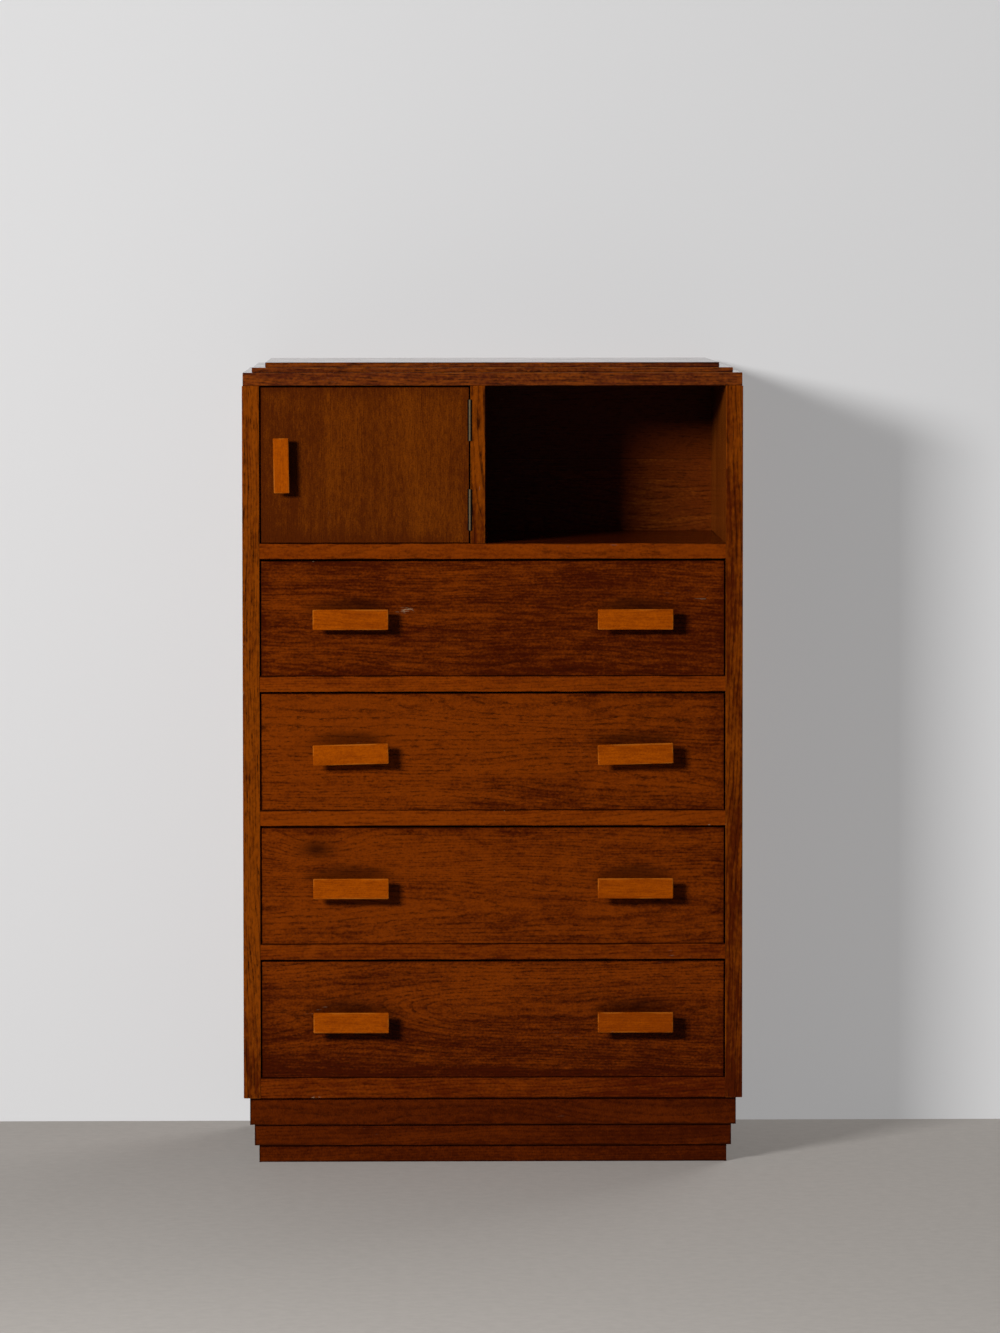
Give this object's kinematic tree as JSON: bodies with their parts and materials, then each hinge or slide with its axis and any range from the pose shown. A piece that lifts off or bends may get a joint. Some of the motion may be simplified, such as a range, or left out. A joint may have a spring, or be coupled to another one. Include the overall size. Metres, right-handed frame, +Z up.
{
  "type": "chest of drawers",
  "caption": "Stained oak chest of drawers with a stepped plinth and top, and a small hinged cupboard beside an open pigeon-hole above the drawers; flat bar pulls.",
  "frame": {"origin": "middle of the foot of the bounding box, pulls included, on the floor", "axes": "+Z up, the front faces -Y, +X to the right of someone facing the front"},
  "size_m": [0.61, 0.4302, 0.98],
  "materials": {
    "stained_oak": "stained, satin",
    "door_veneer": "stained, satin",
    "pull_oak": "varnished",
    "drawer_lining": "bare",
    "plywood": "bare",
    "hinge_brass": "tarnished",
    "screw_steel": "dull"
  },
  "bodies": {
    "carcass": {"back_panel": "plywood", "back_panel_nails": "screw_steel", "bottom_rail": "stained_oak", "catch_strike": "hinge_brass", "compartment_divider": "stained_oak", "compartment_floor": "stained_oak", "drawer_rails": "stained_oak", "drawer_runners": "drawer_lining", "drawer_stops": "drawer_lining", "frame_screws": "screw_steel", "hinge_frame_leaves": "hinge_brass", "hinge_pins": "hinge_brass", "plinth_corner_blocks": "drawer_lining", "plinth_lower": "stained_oak", "plinth_middle": "stained_oak", "plinth_upper": "stained_oak", "side_panel_left": "stained_oak", "side_panel_right": "stained_oak", "top_board": "stained_oak", "top_step_middle": "stained_oak", "top_step_upper": "stained_oak"},
    "door": {"catch_barrel": "hinge_brass", "catch_spring": "screw_steel", "door_panel": "door_veneer", "door_pull": "pull_oak", "door_screws": "screw_steel", "hinge_door_leaves": "hinge_brass"},
    "catch_ball": {"catch_ball": "screw_steel"},
    "drawer_1": {"drawer_1_back": "drawer_lining", "drawer_1_bottom": "plywood", "drawer_1_front": "stained_oak", "drawer_1_pull_left": "pull_oak", "drawer_1_pull_right": "pull_oak", "drawer_1_pull_screws": "screw_steel", "drawer_1_side_left": "drawer_lining", "drawer_1_side_right": "drawer_lining"},
    "drawer_2": {"drawer_2_back": "drawer_lining", "drawer_2_bottom": "plywood", "drawer_2_front": "stained_oak", "drawer_2_pull_left": "pull_oak", "drawer_2_pull_right": "pull_oak", "drawer_2_pull_screws": "screw_steel", "drawer_2_side_left": "drawer_lining", "drawer_2_side_right": "drawer_lining"},
    "drawer_3": {"drawer_3_back": "drawer_lining", "drawer_3_bottom": "plywood", "drawer_3_front": "stained_oak", "drawer_3_pull_left": "pull_oak", "drawer_3_pull_right": "pull_oak", "drawer_3_pull_screws": "screw_steel", "drawer_3_side_left": "drawer_lining", "drawer_3_side_right": "drawer_lining"},
    "drawer_4": {"drawer_4_back": "drawer_lining", "drawer_4_bottom": "plywood", "drawer_4_front": "stained_oak", "drawer_4_pull_left": "pull_oak", "drawer_4_pull_right": "pull_oak", "drawer_4_pull_screws": "screw_steel", "drawer_4_side_left": "drawer_lining", "drawer_4_side_right": "drawer_lining"}
  },
  "joints": [
    {"name": "drawer_1_slide", "type": "slide", "parent": "carcass", "child": "drawer_1", "axis": [0, -1, 0], "range_m": [0, 0.28]},
    {"name": "drawer_2_slide", "type": "slide", "parent": "carcass", "child": "drawer_2", "axis": [0, -1, 0], "range_m": [0, 0.28]},
    {"name": "drawer_3_slide", "type": "slide", "parent": "carcass", "child": "drawer_3", "axis": [0, -1, 0], "range_m": [0, 0.28]},
    {"name": "drawer_4_slide", "type": "slide", "parent": "carcass", "child": "drawer_4", "axis": [0, -1, 0], "range_m": [0, 0.28]},
    {"name": "door_swing", "type": "hinge", "parent": "carcass", "child": "door", "pos_m": [-0.028, -0.1859, 0.8555], "axis": [0, 0, 1], "range_deg": [0, 170]},
    {"name": "catch_ball_press", "type": "slide", "parent": "door", "child": "catch_ball", "axis": [1, 0, 0], "range_m": [0, 0.0022], "stiffness_N_per_m": 800, "deforming": ["catch_spring"]}
  ]
}
